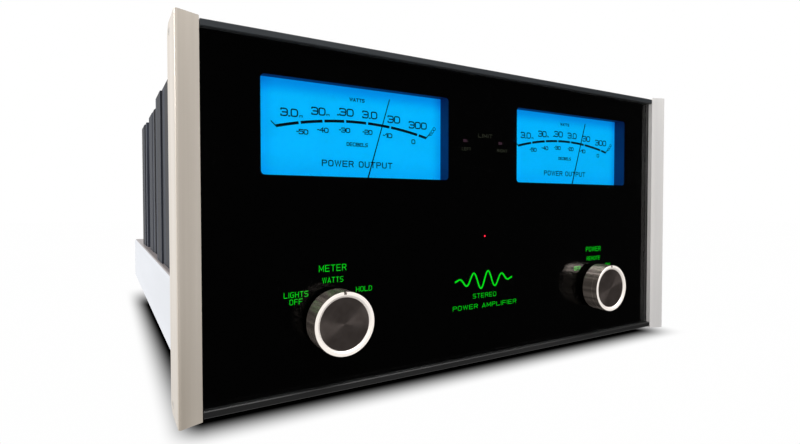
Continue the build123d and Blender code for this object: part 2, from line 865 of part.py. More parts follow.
lever_size = 4.0
lever_travel = 4.0
slot_play = 0.3
with BuildPart() as mode_switch:
    with BuildSketch(facing_front(body_depth)):
        with Locations(mode_place):
            RectangleRounded(18, 11, 1)
    extrude(amount=-1.2)
    with BuildSketch(facing_front(body_depth)):
        with Locations(mode_place):
            Rectangle(12, 7)
    extrude(amount=10)
    with BuildSketch(facing_front(body_depth + 1.2)):
        with Locations(mode_place):
            Rectangle(lever_size + lever_travel + 2 * slot_play, lever_size + 2 * slot_play)
    extrude(amount=9, mode=Mode.SUBTRACT)
save(mode_switch.part, "mode_switch")

with BuildPart() as mode_switch_lever:
    with BuildSketch(facing_front(body_depth - 7)):
        with Locations((mode_place[0] - lever_travel / 2, mode_place[1])):
            Rectangle(lever_size, lever_size)
    extrude(amount=-12)
    chamfer(mode_switch_lever.faces().sort_by(Axis.Y)[-1].edges(), length=0.4)
save(mode_switch_lever.part, "mode_switch_lever")

# ------------------------------------------------------------------ screws
cover_screw_rows = (depth(sink_front + 9), depth(cover_rear - 9))
rear_screw_places = [
    (x, rail_bottom + z) for x in (-208.0, 208.0) for z in (8.0, 38.0)
] + [(side * x, rail_bottom + z) for side in (-1, 1) for x, z in ((72.0, 40.0), (109.0, 6.0))]
with BuildPart() as case_screws:
    for sign in (-1, 1):
        with BuildSketch(facing_side(sign * (half_width - 1.2))):
            with Locations(*cap_screw_places):
                Circle(2.2)
        extrude(amount=sign * 1.1)
    with BuildSketch(Plane.XY.offset(sink_top + cover_thickness)):
        with Locations(*[(s * 176.0, y) for s in (-1, 1) for y in cover_screw_rows]):
            Circle(2.6)
    extrude(amount=1.6)
    with BuildSketch(facing_front(body_depth)):
        with Locations(*rear_screw_places):
            Circle(2.6)
    extrude(amount=-1.6)
save(case_screws.part, "case_screws")
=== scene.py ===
import math

import bpy
from mathutils import Matrix, Vector


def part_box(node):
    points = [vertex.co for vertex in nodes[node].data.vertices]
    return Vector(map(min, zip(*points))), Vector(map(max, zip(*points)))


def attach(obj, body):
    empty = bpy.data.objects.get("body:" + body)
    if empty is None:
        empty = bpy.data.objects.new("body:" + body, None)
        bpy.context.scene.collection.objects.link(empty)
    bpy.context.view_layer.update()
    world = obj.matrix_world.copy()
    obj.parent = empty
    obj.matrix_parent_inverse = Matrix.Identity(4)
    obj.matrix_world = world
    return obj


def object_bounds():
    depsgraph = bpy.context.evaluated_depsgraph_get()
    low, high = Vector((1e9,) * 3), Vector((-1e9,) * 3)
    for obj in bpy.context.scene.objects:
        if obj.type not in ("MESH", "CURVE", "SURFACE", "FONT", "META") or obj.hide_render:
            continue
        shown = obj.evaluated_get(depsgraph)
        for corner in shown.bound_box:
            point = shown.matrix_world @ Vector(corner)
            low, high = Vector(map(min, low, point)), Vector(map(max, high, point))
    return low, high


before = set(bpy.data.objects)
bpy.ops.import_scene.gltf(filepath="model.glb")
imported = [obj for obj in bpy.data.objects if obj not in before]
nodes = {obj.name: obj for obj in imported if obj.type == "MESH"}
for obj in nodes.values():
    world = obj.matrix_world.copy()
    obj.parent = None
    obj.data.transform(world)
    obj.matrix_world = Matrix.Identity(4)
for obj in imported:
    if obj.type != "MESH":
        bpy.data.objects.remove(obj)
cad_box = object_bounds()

mm = 0.001


# ---------------------------------------------------------------- colours and node graphs
def tone(red, green, blue):
    """Scene-linear colour from the 0 to 255 values it has on a screen."""
    def linear(value):
        value /= 255
        return value / 12.92 if value <= 0.04045 else ((value + 0.055) / 1.055) ** 2.4
    return (linear(red), linear(green), linear(blue), 1.0)


def grey(value):
    """Neutral scene-linear colour from one 0 to 255 value."""
    return tone(value, value, value)


class Finish:
    """One procedural material, with a short call for each kind of node that the finishes use."""

    def __init__(self, name):
        self.material = bpy.data.materials.new(name)
        self.material.use_nodes = True
        self.tree = self.material.node_tree
        self.shader = self.tree.nodes["Principled BSDF"]
        self.place = self.tree.nodes.new("ShaderNodeTexCoord").outputs["Object"]

    def feed(self, socket, value):
        """Links a socket to a node's output, or sets it to a plain value."""
        if isinstance(value, bpy.types.NodeSocket):
            self.tree.links.new(value, socket)
        elif value is not None:
            socket.default_value = value

    def set(self, **sockets):
        """Feeds the shader's sockets, named in lower case with _ for a space."""
        for name, value in sockets.items():
            self.feed(self.shader.inputs[name.replace("_", " ").title().replace("Ior", "IOR")], value)

    def split(self):
        """The three Object coordinates, in metres."""
        parts = self.tree.nodes.new("ShaderNodeSeparateXYZ")
        self.feed(parts.inputs[0], self.place)
        return parts.outputs

    def noise(self, size, stretch=(1, 1, 1), detail=3.0):
        """Cloudy value around 0.5 whose blotches are about size across, shorter where stretch is large."""
        mapping = self.tree.nodes.new("ShaderNodeMapping")
        self.feed(mapping.inputs["Vector"], self.place)
        mapping.inputs["Scale"].default_value = [factor / size for factor in stretch]
        texture = self.tree.nodes.new("ShaderNodeTexNoise")
        self.feed(texture.inputs["Vector"], mapping.outputs[0])
        texture.inputs["Scale"].default_value = 1.0
        texture.inputs["Detail"].default_value = detail
        return texture.outputs["Fac"]

    def calc(self, operation, *values):
        """Result of a Math node."""
        node = self.tree.nodes.new("ShaderNodeMath")
        node.operation = operation
        for socket, value in zip(node.inputs, values):
            self.feed(socket, value)
        return node.outputs[0]

    def remap(self, value, start, end, low=0.0, high=1.0, smooth=False):
        """Value carried from start...end to low...high and held there beyond both ends."""
        node = self.tree.nodes.new("ShaderNodeMapRange")
        node.interpolation_type = "SMOOTHSTEP" if smooth else "LINEAR"
        for socket, given in zip(node.inputs, (value, start, end, low, high)):
            self.feed(socket, given)
        return node.outputs[0]

    def mix(self, factor, first, second):
        """Colour that goes from first to second with the factor."""
        node = self.tree.nodes.new("ShaderNodeMix")
        node.data_type = "RGBA"
        self.feed(node.inputs[0], factor)
        self.feed(node.inputs[6], first)
        self.feed(node.inputs[7], second)
        return node.outputs[2]

    def bump(self, height, depth):
        """Surface relief of this many metres from a 0 to 1 height."""
        node = self.tree.nodes.new("ShaderNodeBump")
        node.inputs["Distance"].default_value = depth
        self.feed(node.inputs["Height"], height)
        self.feed(self.shader.inputs["Normal"], node.outputs[0])

    def dress(self, *names):
        """Puts this material on CAD nodes."""
        for name in names:
            for slot in nodes[name].material_slots:
                slot.material = self.material
        return self


def drifting_finish(
    name, dark, light, rough, size=30 * mm, stretch=(1, 1, 1), grain=1 * mm, relief=0.01 * mm, **sockets,
):
    """Finish whose colour and roughness drift between two values, over a fine grained surface. Some callers
    use it for painted light and shade.
    """
    finish = Finish(name)
    drift = finish.remap(finish.noise(size, stretch), 0.35, 0.65)
    fine = finish.noise(grain, stretch, detail=2.0)
    finish.set(
        base_color=finish.mix(drift, dark, light),
        roughness=finish.remap(finish.calc("ADD", drift, fine), 0.3, 1.7, *rough),
        **sockets,
    )
    finish.bump(fine, relief)
    return finish


# ---------------------------------------------------------------- front panel finishes
window_bottom = 153.25 * mm  # lower edge of the meter windows
cap_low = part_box("left_end_cap")[0].z
painted_foot_shade_reach = 90 * mm  # how far the darkening climbs from the foot of an end cap
status_light_top = 130 * mm  # the red light is below this, the unlit limit lights are above the next
limit_lights_low = 140 * mm


def cap_aluminium(name, light, dark):
    """Satin aluminium, brushed along its height, with painted shading bands and painted shade darkening
    towards its foot.
    """
    finish = Finish(name)
    # Broad vertical bands: painted shading, standing in for light and shade across the side.
    painted_shade_bands = finish.noise(9 * mm, (1, 1, 0.02))
    brushing = finish.noise(0.5 * mm, (1, 1, 0.01), detail=2.0)
    z = finish.split()[2]
    # Painted shade: darker towards the foot of the cap.
    painted_foot_shade = finish.remap(z, cap_low, cap_low + painted_foot_shade_reach, 0.4, 0.0, smooth=True)
    shade = finish.calc("ADD", finish.remap(painted_shade_bands, 0.35, 0.65, 0.0, 0.45), painted_foot_shade)
    finish.set(
        base_color=finish.mix(shade, light, dark),
        metallic=0.5,
        roughness=finish.remap(brushing, 0.3, 0.7, 0.30, 0.42),
    )
    finish.bump(brushing, 0.012 * mm)
    return finish


def clear_glass():
    """Thick clear polished glass, its faint grey tint a little uneven."""
    finish = Finish("clear_front_glass")
    tint = finish.remap(finish.noise(40 * mm, (1, 1, 2)), 0.3, 0.7)
    finish.set(
        base_color=finish.mix(tint, grey(250), grey(255)),
        transmission_weight=1.0,
        ior=1.5,
        roughness=0.0,
    )
    return finish


def lit_dial(name, node):
    """Dial glow painted as emission in place of the meter lamps: bright sky blue in the middle, with painted
    shade to deep blue towards the edges and corners.
    """
    finish = Finish(name)
    low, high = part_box(node)
    x, y, z = finish.split()
    # Painted shade: the glow darkens towards the top, the sides and the bottom of the dial.
    from_top = finish.remap(z, high.z, high.z - 12 * mm, 0.55, 0.0, smooth=True)
    from_left = finish.remap(x, low.x, low.x + 15 * mm, 0.30, 0.0, smooth=True)
    from_right = finish.remap(x, high.x, high.x - 9 * mm, 0.35, 0.0, smooth=True)
    from_bottom = finish.remap(z, window_bottom, window_bottom + 16 * mm, 0.15, 0.0, smooth=True)
    upper_left = finish.calc("ADD", from_top, from_left)
    lower_right = finish.calc("ADD", from_right, from_bottom)
    shade = finish.calc("ADD", upper_left, lower_right)
    fibre = finish.remap(finish.noise(0.7 * mm), 0.3, 0.7, -0.015, 0.015)
    shade = finish.calc("ADD", shade, fibre)
    deep = finish.mix(finish.remap(shade, 0.45, 1.0), tone(0, 146, 235), tone(0, 100, 198))
    finish.set(
        base_color=(0.0, 0.0, 0.0, 1.0),
        roughness=0.6,
        specular_ior_level=0.1,
        emission_color=finish.mix(finish.remap(shade, 0.0, 0.45), tone(0, 182, 255), deep),
        emission_strength=1.08,
    )
    return finish


def glowing(name, dim, bright, strength=1.0):
    """Plain light through paint, a little uneven."""
    finish = Finish(name)
    finish.set(
        base_color=(0.0, 0.0, 0.0, 1.0),
        roughness=0.5,
        emission_color=finish.mix(finish.remap(finish.noise(6 * mm), 0.3, 0.7), dim, bright),
        emission_strength=strength,
    )
    return finish


# Both caps are one aluminium. Their different tones are painted light: warmer and darker on the left, lighter
# and cooler on the right.
cap_aluminium("left_cap_warm_painted_shade", tone(199, 190, 179), tone(172, 162, 149)).dress("left_end_cap")
cap_aluminium("right_cap_aluminium", tone(226, 223, 220), tone(206, 204, 203)).dress("right_end_cap")
# The two trims are one black anodised finish. The top trim's lighter tone is painted light and the bottom
# trim's darker tone is painted shade.
drifting_finish(
    "black_anodised_top_trim_painted_lit", tone(38, 41, 44), tone(46, 49, 52), (0.3, 0.42),
    stretch=(0.1, 1, 1), metallic=0.3,
).dress("top_trim")
drifting_finish(
    "black_anodised_bottom_trim_painted_shade", grey(22), grey(30), (0.35, 0.5),
    stretch=(0.1, 1, 1), specular_ior_level=0.3,
).dress("bottom_trim")
clear_glass().dress("front_glass")
drifting_finish("black_mask_paint", grey(3), grey(5), (0.7, 0.8), specular_ior_level=0.0).dress("glass_mask")
drifting_finish("matt_black_steel", grey(30), grey(38), (0.45, 0.6), grain=0.6 * mm, relief=0.02 * mm).dress(
    "front_subpanel", "top_cover", "bottom_pan", "rear_panel")
# The case's blue is painted light: the blue glow of the lit dial inside the translucent case.
drifting_finish("meter_case_plastic", tone(4, 76, 118), tone(8, 88, 134), (0.5, 0.65), specular_ior_level=0.1).dress(
    "left_meter_case", "right_meter_case")
lit_dial("left_dial_light", "left_meter_dial").dress("left_meter_dial")
lit_dial("right_dial_light", "right_meter_dial").dress("right_meter_dial")
drifting_finish("needle_black", grey(6), grey(12), (0.6, 0.7), specular_ior_level=0.1).dress(
    "left_meter_needle", "right_meter_needle")
drifting_finish("movement_metal", grey(120), grey(150), (0.35, 0.5), metallic=0.9).dress("meter_movements")
drifting_finish("light_guide_acrylic", grey(200), grey(215), (0.2, 0.3)).dress("legend_light_guide")


def indicator_light():
    """Red status light, and unlit mauve limit lights above it with a faint painted glow."""
    finish = Finish("indicator_lens")
    z = finish.split()[2]
    unlit = finish.remap(z, status_light_top, limit_lights_low)
    finish.set(
        base_color=finish.mix(unlit, tone(90, 4, 4), tone(46, 30, 38)),
        roughness=0.35,
        # The unlit limit lights still emit: a faint painted glow.
        emission_color=finish.mix(unlit, tone(255, 30, 56), tone(28, 16, 23)),
        emission_strength=3.0,
    )
    return finish


indicator_light().dress("indicator_lights")


# ---------------------------------------------------------------- knobs
knob_rim_start, knob_rim_end = 20.15 * mm, 20.0 * mm  # the cut ring fades in between these radii
knob_notch_floor = 18.3 * mm  # dark from this radius outwards, in the notch
knob_notch_half_width = 0.8 * mm


def knob_metal(name, node):
    """Turned metal: bright cut ring with a dark index notch on the face, and darker streaked sides."""
    finish = Finish(name)
    low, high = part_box(node)
    centre_x, centre_z = (low.x + high.x) / 2, (low.z + high.z) / 2
    x, y, z = finish.split()
    across = finish.calc("POWER", finish.calc("SUBTRACT", x, centre_x), 2.0)
    up = finish.calc("POWER", finish.calc("SUBTRACT", z, centre_z), 2.0)
    radius = finish.calc("SQRT", finish.calc("ADD", across, up))
    on_face = finish.remap(y, low.y + 1.5 * mm, low.y + 1.2 * mm)
    inside_rim = finish.remap(radius, knob_rim_start, knob_rim_end)
    ring = finish.calc("MULTIPLY", on_face, inside_rim)
    lines = finish.noise(1.2 * mm, (0.01, 1, 0.01), detail=1.0)
    streaks = finish.remap(finish.noise(2.2 * mm, (1, 0.004, 1), detail=0.0), 0.35, 0.65)
    barrel = finish.mix(streaks, tone(98, 90, 84), tone(142, 132, 124))
    off_middle = finish.calc("ABSOLUTE", finish.calc("SUBTRACT", x, centre_x))
    notch_side = finish.remap(off_middle, knob_notch_half_width + 0.2 * mm, knob_notch_half_width)
    notch_end = finish.remap(z, centre_z + knob_notch_floor, centre_z + knob_notch_floor + 0.2 * mm)
    ring = finish.calc("SUBTRACT", ring, finish.calc("MULTIPLY", notch_side, notch_end))
    fine = finish.remap(lines, 0.3, 0.7, -0.02, 0.02)
    finish.set(
        base_color=finish.mix(ring, barrel, tone(226, 219, 212)),
        metallic=finish.remap(ring, 0.0, 1.0, 0.7, 0.25),
        roughness=finish.calc("ADD", finish.remap(ring, 0.0, 1.0, 0.26, 0.32), fine),
    )
    finish.bump(lines, 0.002 * mm)
    return finish


def spun_black(name):
    """Dark lacquered disc with fine circular turning marks, so its highlights fan out from the centre."""
    finish = Finish(name)
    tangent = finish.tree.nodes.new("ShaderNodeTangent")
    tangent.direction_type = "RADIAL"
    tangent.axis = "Y"
    drift = finish.noise(8 * mm)
    finish.set(
        base_color=finish.mix(finish.remap(drift, 0.3, 0.7), tone(92, 83, 79), tone(108, 99, 95)),
        metallic=0.85,
        roughness=finish.remap(finish.noise(0.4 * mm), 0.3, 0.7, 0.30, 0.38),
        anisotropic=0.9,
        tangent=tangent.outputs[0],
    )
    return finish


for knob in ("meter_knob", "power_knob"):
    knob_metal(f"{knob}_metal", knob).dress(knob)
    spun_black(f"{knob}_insert_metal").dress(f"{knob}_insert")
    drifting_finish(f"{knob}_shaft_steel", grey(150), grey(175), (0.3, 0.4), metallic=1.0).dress(f"{knob}_shaft")


# ---------------------------------------------------------------- body finishes
def rail_steel():
    """Bright steel sides, with a painted darker reflection of the heat sink fins on its top edge."""
    finish = drifting_finish(
        "polished_steel_rail", tone(196, 199, 205), tone(208, 211, 217), (0.3, 0.4),
        size=60 * mm, stretch=(1, 0.1, 1), grain=0.6 * mm, relief=0.004 * mm, metallic=0.5,
    )
    z = finish.split()[2]
    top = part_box("chassis")[1].z
    # Painted reflection: the top edge is darker, standing in for the dark fins it mirrors.
    fin_reflection_ledge = finish.remap(z, top - 0.6 * mm, top - 0.4 * mm)
    sides = finish.shader.inputs["Base Color"].links[0].from_socket
    finish.set(
        base_color=finish.mix(fin_reflection_ledge, sides, tone(138, 130, 129)),
        metallic=finish.remap(fin_reflection_ledge, 0.0, 1.0, 0.5, 0.0),
        specular_ior_level=0.2,
    )
    return finish


rail_steel().dress("chassis")
# The vertical streaks are partly painted light: highlights and shade of the fins, over the slate tone.
drifting_finish(
    "slate_heat_sink_painted_fin_streaks", tone(14, 14, 17), tone(58, 62, 72), (0.5, 0.65),
    size=14 * mm, stretch=(1, 1, 0.02), grain=0.7 * mm, relief=0.02 * mm, specular_ior_level=0.1,
).dress("left_heat_sink", "right_heat_sink")
drifting_finish("foot_rubber", grey(16), grey(24), (0.7, 0.85), grain=0.8 * mm, relief=0.04 * mm).dress("rubber_feet")
drifting_finish("can_lacquer", grey(10), grey(14), (0.08, 0.16), size=80 * mm, coat_weight=0.6).dress(
    "power_transformer_can", "autoformer_cans")
drifting_finish("bright_steel_screws", grey(150), grey(185), (0.25, 0.4), grain=0.5 * mm, metallic=1.0).dress(
    "case_screws", "foot_bolts")
drifting_finish("switch_plastic", grey(30), grey(44), (0.4, 0.55)).dress("rotary_switches", "mode_switch")
drifting_finish("circuit_board_green", tone(14, 60, 34), tone(20, 78, 44), (0.35, 0.5)).dress(
    "power_supply_board", "input_board")
drifting_finish("component_black", grey(22), grey(32), (0.4, 0.55)).dress("output_transistors", "driver_boards")
drifting_finish("capacitor_sleeve", tone(20, 28, 60), tone(26, 36, 76), (0.3, 0.45)).dress("filter_capacitors")
drifting_finish("laminated_iron", grey(70), grey(96), (0.5, 0.65), stretch=(1, 1, 8), metallic=0.8).dress(
    "power_transformer", "autoformers")
drifting_finish("connector_black", grey(20), grey(30), (0.35, 0.5)).dress(
    "ac_inlet", "xlr_jacks", "control_jacks", "fuse_holder", "fuse_cap", "output_post_collars")
drifting_finish("lever_white", grey(205), grey(222), (0.4, 0.5)).dress("mode_switch_lever")
drifting_finish(
    "gold_contacts", tone(206, 160, 74), tone(236, 192, 104), (0.15, 0.28), grain=0.4 * mm, metallic=1.0,
).dress("rca_jacks", "output_post_studs", "ac_inlet_pins")
for side in ("left", "right"):
    drifting_finish(f"{side}_common_post_black", grey(20), grey(28), (0.3, 0.42)).dress(f"{side}_common_post_cap")
    for tap in ("two_ohm", "four_ohm", "eight_ohm"):
        drifting_finish(f"{side}_{tap}_post_red", tone(120, 10, 12), tone(150, 16, 16), (0.3, 0.42)).dress(
            f"{side}_{tap}_post_cap")


# ---------------------------------------------------------------- lettering
half_print = 0.03 * mm  # half the thickness of the print
glyph_squares = 8
legend_stroke = 0.09  # of a word's height
letter_gap, digit_gap = 4, 2  # in squares of the grid below
# A plain wide typeface. A character is one or more strokes over a grid of 8 by 8 squares. Two digits are a
# point, x and then z, and an o after them rounds that corner.
glyph_strokes = {
    "0": "04 08o 88o 80o 00o 04", "1": "06 88 80", "2": "07 08o 88o 84o 04o 00 80",
    "3": "07 08o 88o 80o 00o 01/24 84", "4": "60 68 03 83", "5": "88 08 05 85o 80o 00o 01",
    "6": "88 08o 00o 80o 85o 05", "-": "04 84", ".": "00 80", " ": "",
    "A": "00 48 80/12 72", "B": "00 08 78o 74o 04/64 84o 80o 00", "C": "88 08o 00o 80",
    "D": "00 08 88o 80o 00", "E": "88 08 00 80/04 74", "F": "88 08 00/04 74", "G": "88 08o 00o 80o 84 54",
    "H": "00 08/80 88/04 84", "I": "00 08", "L": "08 00 80", "M": "00 08 42 88 80", "N": "00 08 80 88",
    "O": "04 08o 88o 80o 00o 04", "P": "00 08 88o 84o 04", "R": "00 08 88o 84o 04/54 80",
    "S": "88 08o 04o 84o 80o 00", "T": "08 88/48 40", "U": "08 00o 80o 88", "W": "08 20 48 60 88",
    "m": "00 08 48o 40/48 88o 80",
}
glyph_widths = {"1": 3, "-": 3, ".": 1, " ": 4, "I": 0, "M": 9, "W": 11}  # the others are 8 wide
corner_steps = 5
word_corner = 0.3  # of a word's height
same_place = 1e-7
sharpest_mitre = 0.45


def smooth_path(points, corner):
    """Path through (place, rounded) points, with a curve in place of each rounded one."""
    path = []
    for index, (place, rounded) in enumerate(points):
        if not rounded:
            path.append(place)
            continue
        before, after = points[index - 1][0] - place, points[index + 1][0] - place
        reach = min(corner, before.length / 2, after.length / 2)
        start, end = place + reach * before.normalized(), place + reach * after.normalized()
        for step in range(corner_steps + 1):
            along = step / corner_steps
            path.append(start.lerp(place, along).lerp(place.lerp(end, along), along))
    moved = [True, *[(after - before).length > same_place for before, after in zip(path, path[1:])]]
    return [place for place, kept in zip(path, moved) if kept]


def stroke_rows(path, half):
    """Lower and upper edge of a stroke along a path, with square ends and mitred corners."""
    steps = [(after - before).normalized() for before, after in zip(path, path[1:])]
    path = [path[0] - half * steps[0], *path[1:-1], path[-1] + half * steps[-1]]
    rows = []
    for place, before, after in zip(path, [steps[0], *steps], [*steps, steps[-1]]):
        across = (before + after).normalized().orthogonal()
        side = half / max(sharpest_mitre, across.dot(before.orthogonal())) * across
        rows.append((place - side, place + side))
    return rows


def add_word(piece_parts, text, x, y, z, width, height, stroke, turn=0.0):
    """Adds a word of exactly this width and height about (x, z), facing the front at y."""
    widths = [glyph_widths.get(letter, glyph_squares) for letter in text]
    gap = digit_gap if text[-1].isdigit() else letter_gap
    square_x = (width - stroke) / (sum(widths) + gap * (len(text) - 1))
    square_z = (height - stroke) / glyph_squares
    spin = Matrix.Rotation(math.radians(turn), 2)
    left = -(width - stroke) / 2
    for letter, letter_width in zip(text, widths):
        for line in filter(None, glyph_strokes[letter].split("/")):
            points = []
            for mark in line.split():
                across, up = int(mark[0]) / glyph_squares, int(mark[1]) - glyph_squares / 2
                place = Vector((left + across * letter_width * square_x, up * square_z))
                points.append((place, mark.endswith("o")))
            rows = stroke_rows(smooth_path(points, corner=word_corner * height), stroke / 2)
            rows = [[spin @ edge + Vector((x, z)) for edge in row] for row in rows]
            add_band(piece_parts, y, rows)
        left += (letter_width + gap) * square_x


def add_band(piece_parts, y, rows):
    """Adds a flat strip that faces the front. Each row is its lower and its upper (x, z) corner."""
    points, faces = piece_parts
    start = len(points)
    for low, high in rows:
        for x, z in (low, high):
            points.extend(((x, y - half_print, z), (x, y + half_print, z)))
    last = len(rows) - 1
    for row in range(last):
        a = start + 4 * row
        faces.extend(([a, a + 4, a + 6, a + 2], [a + 1, a + 3, a + 7, a + 5]))
        faces.extend(([a, a + 1, a + 5, a + 4], [a + 2, a + 6, a + 7, a + 3]))
    end = start + 4 * last
    faces.extend(([start, start + 2, start + 3, start + 1], [end, end + 1, end + 3, end + 2]))


def make_piece(name, piece_parts, finish, body="amplifier"):
    """Piece from points and faces, riding on a body."""
    points, faces = piece_parts
    mesh = bpy.data.meshes.new(name)
    mesh.from_pydata(points, [], faces)
    mesh.validate()
    mesh.materials.append(finish.material)
    piece = bpy.data.objects.new(name, mesh)
    bpy.context.scene.collection.objects.link(piece)
    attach(piece, body)


# ---------------------------------------------------------------- print on the meter dials
arc_radius = 235 * mm
arc_width = 1.9 * mm
arc_top = 192.1 * mm
arc_ends = (-57.0 * mm, 57.3 * mm)
tick_places = [x * mm for x in (-41.3, -24.8, -9.0, 7.8, 26.4, 50.1)]
tick_gap = 0.7 * mm
tick_half_width = 0.5 * mm
arc_step = 2 * mm
# foot, and reach in x and z
end_ticks = ((arc_ends[0], -3.2 * mm, 3.0 * mm), (arc_ends[1], 3.0 * mm, 3.0 * mm))
# text, x from the middle of the dial, z, width, height, stroke, turn
dial_words = (
    ("WATTS", 0.0, 207.4, 11.6, 2.5, 0.55, 0),
    ("3.0", -48.2, 194.4, 11.8, 5.4, 0.9, 0), ("m", -40.3, 192.5, 2.5, 1.4, 0.4, 0),
    ("30", -28.3, 197.0, 10.1, 5.4, 0.9, 0), ("m", -21.6, 195.1, 2.5, 1.4, 0.4, 0),
    (".30", -8.8, 198.2, 12.5, 5.4, 0.9, 0),
    ("3.0", 9.9, 198.0, 11.9, 5.4, 0.9, 0),
    ("30", 29.4, 196.5, 10.5, 5.4, 0.9, 0),
    ("300", 50.0, 193.9, 15.9, 5.4, 0.9, 0),
    ("-600", 62.8, 190.0, 8.6, 2.6, 0.42, 52),
    ("-50", -39.5, 182.6, 8.2, 3.5, 0.7, 0), ("-40", -25.2, 184.8, 8.2, 3.5, 0.7, 0),
    ("-30", -9.4, 185.9, 8.4, 3.5, 0.7, 0), ("-20", 8.1, 185.8, 7.8, 3.5, 0.7, 0),
    ("-10", 24.2, 184.6, 7.8, 3.5, 0.7, 0), ("0", 46.1, 181.6, 3.4, 3.5, 0.7, 0),
    ("DECIBELS", 0.2, 176.6, 16.3, 2.7, 0.55, 0),
    ("POWER OUTPUT", 1.0, 162.9, 54.2, 4.4, 0.75, 0),
)
print_ink = drifting_finish("dial_ink", tone(0, 8, 36), tone(0, 12, 46), (0.6, 0.75), specular_ior_level=0.1)


def arc_point(x, centre_x, offset):
    """Point of the scale's arc at x from the print's middle, moved outwards by offset."""
    turn = math.asin(x / arc_radius)
    reach = arc_radius + offset
    return (centre_x + reach * math.sin(turn), arc_top - arc_radius + reach * math.cos(turn))


def dial_print(side):
    """Numbers, words and the broken arc of one meter, just in front of its dial."""
    low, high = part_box(f"{side}_meter_dial")
    y = low.y - 0.05 * mm
    centre_x = (low.x + high.x) / 2
    parts = ([], [])
    for text, x, z, width, height, stroke, turn in dial_words:
        add_word(parts, text, centre_x + x * mm, y, z * mm, width * mm, height * mm, stroke * mm, turn)
    gap_edges = [x + way * tick_gap for x in tick_places for way in (-1, 1)]
    edges = [arc_ends[0], *gap_edges, arc_ends[1]]
    for start, end in zip(edges[0::2], edges[1::2]):
        steps = max(2, round((end - start) / arc_step))
        places = [start + (end - start) * step / steps for step in range(steps + 1)]
        rows = [[arc_point(x, centre_x, side_of * arc_width / 2) for side_of in (-1, 1)] for x in places]
        add_band(parts, y, rows)
    for x, reach_x, reach_z in end_ticks:
        foot_x, foot_z = arc_point(x, centre_x, 0)
        ends = ((foot_x, foot_z), (foot_x + reach_x, foot_z + reach_z))
        rows = [((end_x, end_z - tick_half_width), (end_x, end_z + tick_half_width)) for end_x, end_z in ends]
        add_band(parts, y, rows)
    make_piece(f"{side}_dial_print", parts, print_ink)


for side in ("left", "right"):
    dial_print(side)

# ---------------------------------------------------------------- lit legends behind the glass
legend_y = (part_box("front_glass")[1].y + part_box("glass_mask")[0].y) / 2  # between the glass and its mask
green = glowing("legend_green", tone(0, 222, 20), tone(0, 240, 28))
# text, x, z, width, height
panel_words = (
    ("METER", -127.5, 93.4, 19.2, 4.3), ("WATTS", -127.5, 85.6, 14.7, 3.5),
    ("LIGHTS", -152.4, 78.1, 15.8, 3.5), ("OFF", -152.5, 73.5, 8.4, 3.5), ("HOLD", -104.8, 77.8, 11.9, 3.4),
    ("POWER", 129.9, 94.0, 20.2, 4.3), ("REMOTE", 129.9, 85.5, 18.2, 3.5),
    ("OFF", 108.5, 77.4, 8.6, 3.5), ("ON", 150.2, 78.1, 6.5, 3.5),
    ("STEREO", 0.9, 63.5, 23.5, 3.5), ("POWER AMPLIFIER", 2.1, 55.5, 64.4, 3.5),
)
legends = ([], [])
for text, x, z, width, height in panel_words:
    stroke = legend_stroke * height * mm
    add_word(legends, text, x * mm, legend_y, z * mm, width * mm, height * mm, stroke)
make_piece("panel_legends", legends, green)

emblem_x, emblem_z = 0.7 * mm, 75.8 * mm
emblem_width, emblem_height = 58 * mm, 13.5 * mm
emblem_line = 1.3 * mm
emblem_steps = 96
emblem_waves = 4
wave_rows = []
for step in range(emblem_steps + 1):
    along = step / emblem_steps
    phase = 2 * math.pi * emblem_waves * along
    swell = math.sin(math.pi * along)
    slope = (emblem_height / 2) * swell * math.cos(phase) * 2 * math.pi * emblem_waves / emblem_width
    tilt = math.atan(slope)
    x = emblem_x + (along - 0.5) * emblem_width
    z = emblem_z + (emblem_height / 2) * swell * math.sin(phase)
    side_x, side_z = -math.sin(tilt) * emblem_line / 2, math.cos(tilt) * emblem_line / 2
    wave_rows.append(((x - side_x, z - side_z), (x + side_x, z + side_z)))
emblem = ([], [])
add_band(emblem, legend_y, wave_rows)
make_piece("wave_emblem", emblem, green)

dim_words = (
    ("LIMIT", 1.0, 188.6, 14.0, 2.9), ("LEFT", -17.5, 177.4, 8.7, 2.3), ("RIGHT", 18.7, 177.9, 11.1, 2.3),
)
dim_legends = ([], [])
for text, x, z, width, height in dim_words:
    stroke = legend_stroke * height * mm
    add_word(dim_legends, text, x * mm, legend_y, z * mm, width * mm, height * mm, stroke)
olive = glowing("legend_olive", tone(52, 56, 44), tone(62, 66, 52))
make_piece("limit_legends", dim_legends, olive)

# ---------------------------------------------------------------- studio
world = bpy.data.worlds.new("studio")
bpy.context.scene.world = world
world.use_nodes = True
sky = world.node_tree
sky.nodes.clear()


def sky_node(kind, **inputs):
    """World node whose inputs are links or plain values."""
    node = sky.nodes.new(kind)
    for name, value in inputs.items():
        if isinstance(value, bpy.types.NodeSocket):
            sky.links.new(value, node.inputs[name])
        else:
            node.inputs[name].default_value = value
    return node


soft_level = 0.75  # what matt surfaces receive from every side
front_level = 0.008  # what shiny surfaces mirror in front of the object
rays = sky.nodes.new("ShaderNodeLightPath")
direction = sky.nodes.new("ShaderNodeTexCoord").outputs["Generated"]
heading = sky_node("ShaderNodeSeparateXYZ", Vector=direction)
# What shiny surfaces mirror: dark in front of the object, white behind it.
mirror_level = sky_node("ShaderNodeMapRange", Value=heading.outputs["Y"])
mirror_level.interpolation_type = "SMOOTHSTEP"
mirror_level.inputs["From Min"].default_value = -0.25
mirror_level.inputs["From Max"].default_value = 0.35
mirror_level.inputs["To Min"].default_value = front_level
mirror_level.inputs["To Max"].default_value = 1.0


